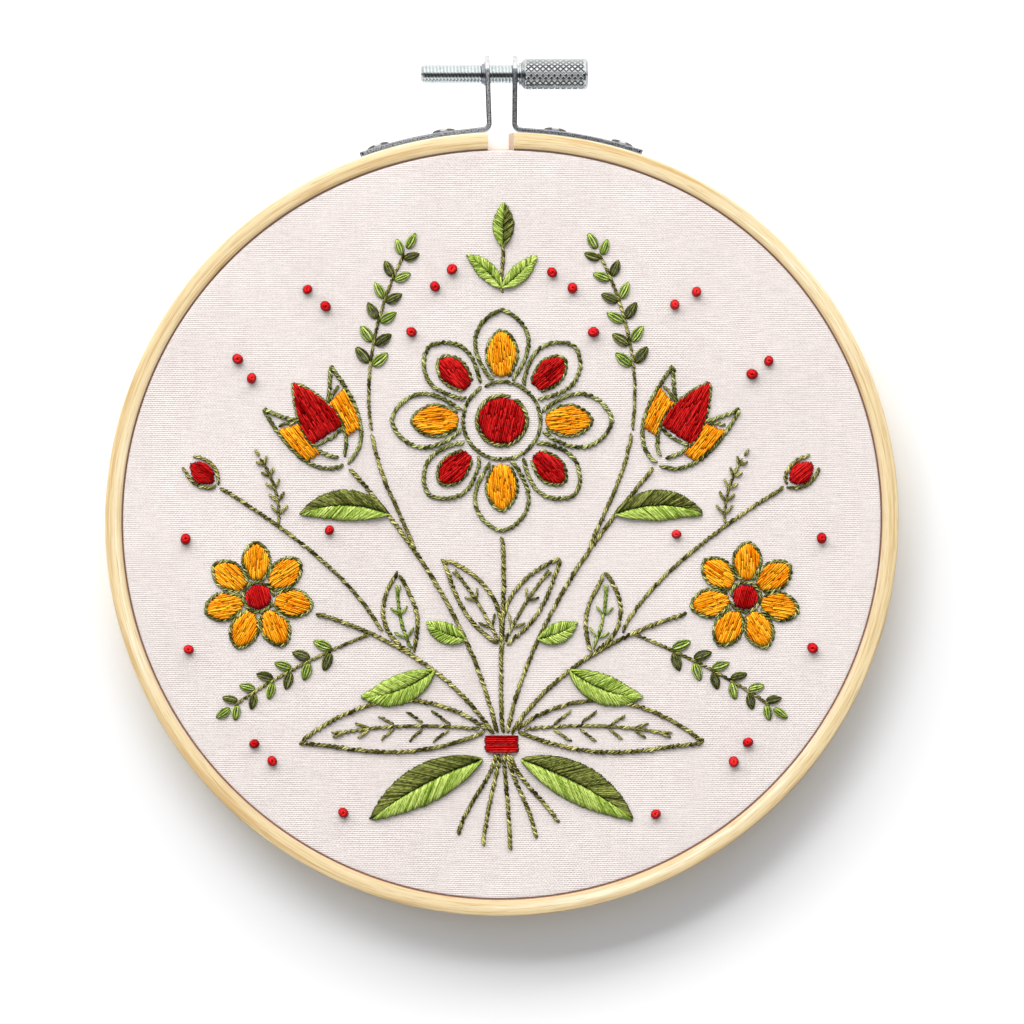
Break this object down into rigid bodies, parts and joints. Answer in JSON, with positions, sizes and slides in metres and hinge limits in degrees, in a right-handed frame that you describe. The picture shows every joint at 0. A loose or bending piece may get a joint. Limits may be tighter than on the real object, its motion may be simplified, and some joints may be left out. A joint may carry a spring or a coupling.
{
  "type": "hoop embroidery art, cotton cloth stretched in its wooden embroidery hoop",
  "caption": "Round stitched cotton cloth held drum-tight between the two wooden rings of an embroidery hoop, with a bent-strip screw clamp at the top.",
  "frame": {"origin": "middle of the whole outline in plan, on the plane that the backs of the two rings rest on", "axes": "+Z out of the stitched front of the cloth, +Y towards the screw clamp, +X to the right seen from the front"},
  "size_m": [0.1603, 0.174, 0.008],
  "materials": {
    "hoop_bamboo": "satin, pale bamboo with fine streaks along the ring",
    "inner_bamboo": "satin",
    "cotton_cloth": "plain woven cotton, stretched, stitched with stranded cotton thread",
    "zinc_strip": "zinc plated sheet",
    "rivet_steel": "polished",
    "screw_steel": "bright plated, threaded rod and knurled head"
  },
  "bodies": {
    "hoop": {"outer_ring": "hoop_bamboo", "inner_ring": "inner_bamboo", "cloth": "cotton_cloth", "bracket_left": "zinc_strip", "bracket_right": "zinc_strip", "rivet_left_1": "rivet_steel", "rivet_left_2": "rivet_steel", "rivet_right_1": "rivet_steel", "rivet_right_2": "rivet_steel"},
    "screw": {"clamp_screw": "screw_steel"}
  },
  "joints": [
    {"name": "screw_turn", "type": "hinge", "parent": "hoop", "child": "screw", "pos_m": [0, 0.08331, 0.004], "axis": [1, 0, 0], "continuous": true}
  ]
}
